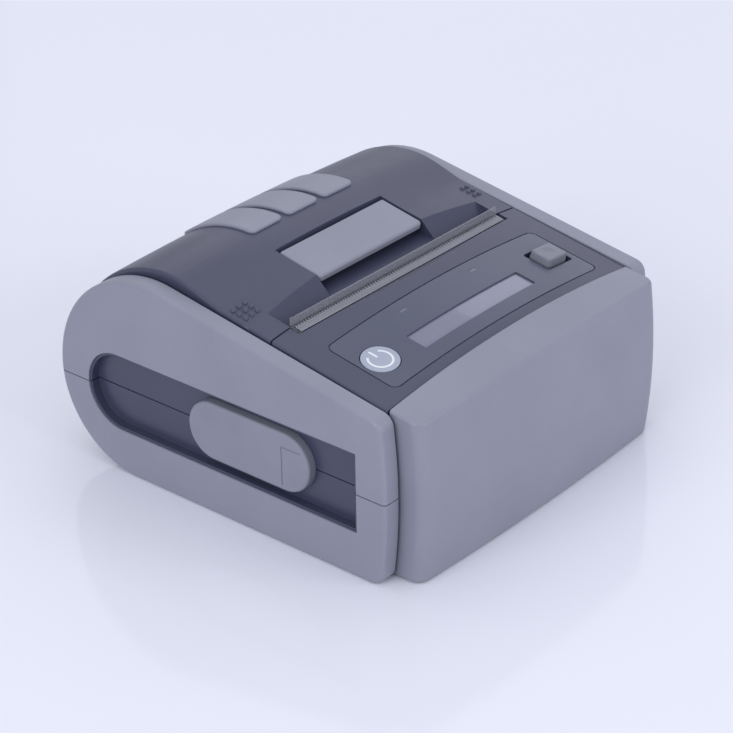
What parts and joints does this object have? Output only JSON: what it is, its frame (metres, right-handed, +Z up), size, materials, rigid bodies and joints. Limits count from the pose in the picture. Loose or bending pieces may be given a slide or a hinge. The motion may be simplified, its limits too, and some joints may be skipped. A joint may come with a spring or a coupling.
{
  "type": "portable receipt printer",
  "caption": "Portable fiscal receipt printer with a hinged paper cover, tear bar, small display, two keys and a clip-on battery pack.",
  "frame": {"origin": "middle of the footprint, on the surface the printer stands on", "axes": "+X to the right seen from the front, +Y to the rear, +Z up"},
  "size_m": [0.112, 0.1214, 0.0632],
  "materials": {
    "dark_plastic": "fine satin texture",
    "light_plastic": "fine satin texture",
    "cap_rubber": "matte",
    "panel_film": "satin film",
    "display_glass": "clear",
    "display_body": "matte",
    "circuit_board": "satin",
    "chip_plastic": "matte",
    "key_film": "satin film",
    "button_plastic": "satin",
    "clear_plastic": "clear",
    "sheet_steel": "satin",
    "light_lens": "clear",
    "platen_rubber": "matte",
    "gear_plastic": "satin",
    "head_ceramic": "glazed",
    "aluminium": "satin",
    "potting": "satin",
    "cell_wrap": "gloss film",
    "contact_metal": "bright",
    "foot_rubber": "matte"
  },
  "bodies": {
    "housing": {"lower_housing": "dark_plastic", "upper_housing": "dark_plastic", "right_upper_trim": "light_plastic", "right_lower_trim": "light_plastic", "left_upper_trim": "light_plastic", "left_lower_trim": "light_plastic", "panel_overlay": "panel_film", "display_window": "display_glass", "display_module": "display_body", "keypad_board": "circuit_board", "key_switches": "chip_plastic", "status_lights": "light_lens", "paper_guide": "clear_plastic", "tear_blade": "sheet_steel", "idler_pin": "sheet_steel", "feed_motor": "sheet_steel", "mechanism_frame": "sheet_steel", "head_springs": "sheet_steel", "paper_sensor": "chip_plastic", "paper_bucket": "dark_plastic", "hinge_pin": "sheet_steel", "main_board": "circuit_board", "board_chips": "chip_plastic", "fiscal_memory": "potting", "port_board": "circuit_board", "serial_socket": "chip_plastic", "power_jack": "chip_plastic", "battery_contacts": "contact_metal", "case_screws": "sheet_steel", "rubber_feet": "foot_rubber"},
    "cover": {"cover_shell": "dark_plastic", "left_grip_pad": "light_plastic", "middle_grip_pad": "light_plastic", "right_grip_pad": "light_plastic", "lever_pin": "sheet_steel", "platen_carrier": "dark_plastic", "platen_bushes": "gear_plastic"},
    "lever": {"open_lever": "light_plastic"},
    "latch": {"latch_bar": "sheet_steel"},
    "platen": {"platen_shaft": "sheet_steel", "platen_roller": "platen_rubber", "platen_gear": "gear_plastic"},
    "idler": {"idler_gear": "gear_plastic"},
    "pinion": {"motor_pinion": "contact_metal"},
    "head": {"print_head": "head_ceramic", "head_heatsink": "aluminium"},
    "feed_key": {"feed_button": "button_plastic"},
    "power_switch_key": {"power_key": "key_film"},
    "battery": {"battery_shell": "light_plastic", "battery_tray": "dark_plastic", "battery_cells": "cell_wrap", "battery_board": "circuit_board", "battery_terminals": "contact_metal"},
    "side_cap": {"port_cap": "cap_rubber"}
  },
  "joints": [
    {"name": "cover_hinge", "type": "hinge", "parent": "housing", "child": "cover", "pos_m": [0, 0.0568, 0.0242], "axis": [-1, 0, 0], "range_deg": [0, 88]},
    {"name": "lever_hinge", "type": "hinge", "parent": "cover", "child": "lever", "pos_m": [0, 0.011, 0.0579], "axis": [-1, 0, 0], "range_deg": [0, 35], "stiffness_Nm_per_rad": 0.01, "springref_deg": -17.19},
    {"name": "latch_turn", "type": "hinge", "parent": "cover", "child": "latch", "pos_m": [0, 0.0095, 0.0504], "axis": [1, 0, 0], "range_deg": [0, 8.75]},
    {"name": "platen_spin", "type": "hinge", "parent": "cover", "child": "platen", "pos_m": [0, -0.0025, 0.0445], "axis": [1, 0, 0], "continuous": true},
    {"name": "idler_spin", "type": "hinge", "parent": "housing", "child": "idler", "pos_m": [0.045, -0.00678, 0.03201], "axis": [1, 0, 0], "continuous": true},
    {"name": "pinion_spin", "type": "hinge", "parent": "housing", "child": "pinion", "pos_m": [0.045, -0.01441, 0.02437], "axis": [1, 0, 0], "continuous": true},
    {"name": "head_pivot", "type": "hinge", "parent": "housing", "child": "head", "pos_m": [0, -0.0108, 0.0378], "axis": [1, 0, 0], "range_deg": [0, 2.5], "stiffness_Nm_per_rad": 1, "springref_deg": -2.86, "deforming": ["head_springs"]},
    {"name": "feed_press", "type": "slide", "parent": "housing", "child": "feed_key", "axis": [-0.0835, 0.1765, -0.9807], "range_m": [0, 0.0012], "stiffness_N_per_m": 300, "springref_m": -0.0005},
    {"name": "power_press", "type": "slide", "parent": "housing", "child": "power_switch_key", "axis": [0.0863, 0.1765, -0.9805], "range_m": [0, 0.0004], "stiffness_N_per_m": 400, "springref_m": -0.0003},
    {"name": "battery_slide", "type": "slide", "parent": "housing", "child": "battery", "axis": [0, -1, 0], "range_m": [0, 0.025]},
    {"name": "cap_pull", "type": "slide", "parent": "housing", "child": "side_cap", "axis": [-1, 0, 0], "range_m": [0, 0.012]}
  ],
  "couplings": [
    {"joint": "latch_turn", "follows": "lever_hinge", "ratio": 0.25},
    {"joint": "idler_spin", "follows": "platen_spin", "ratio": -0.83333},
    {"joint": "pinion_spin", "follows": "platen_spin", "ratio": 1.6667}
  ]
}
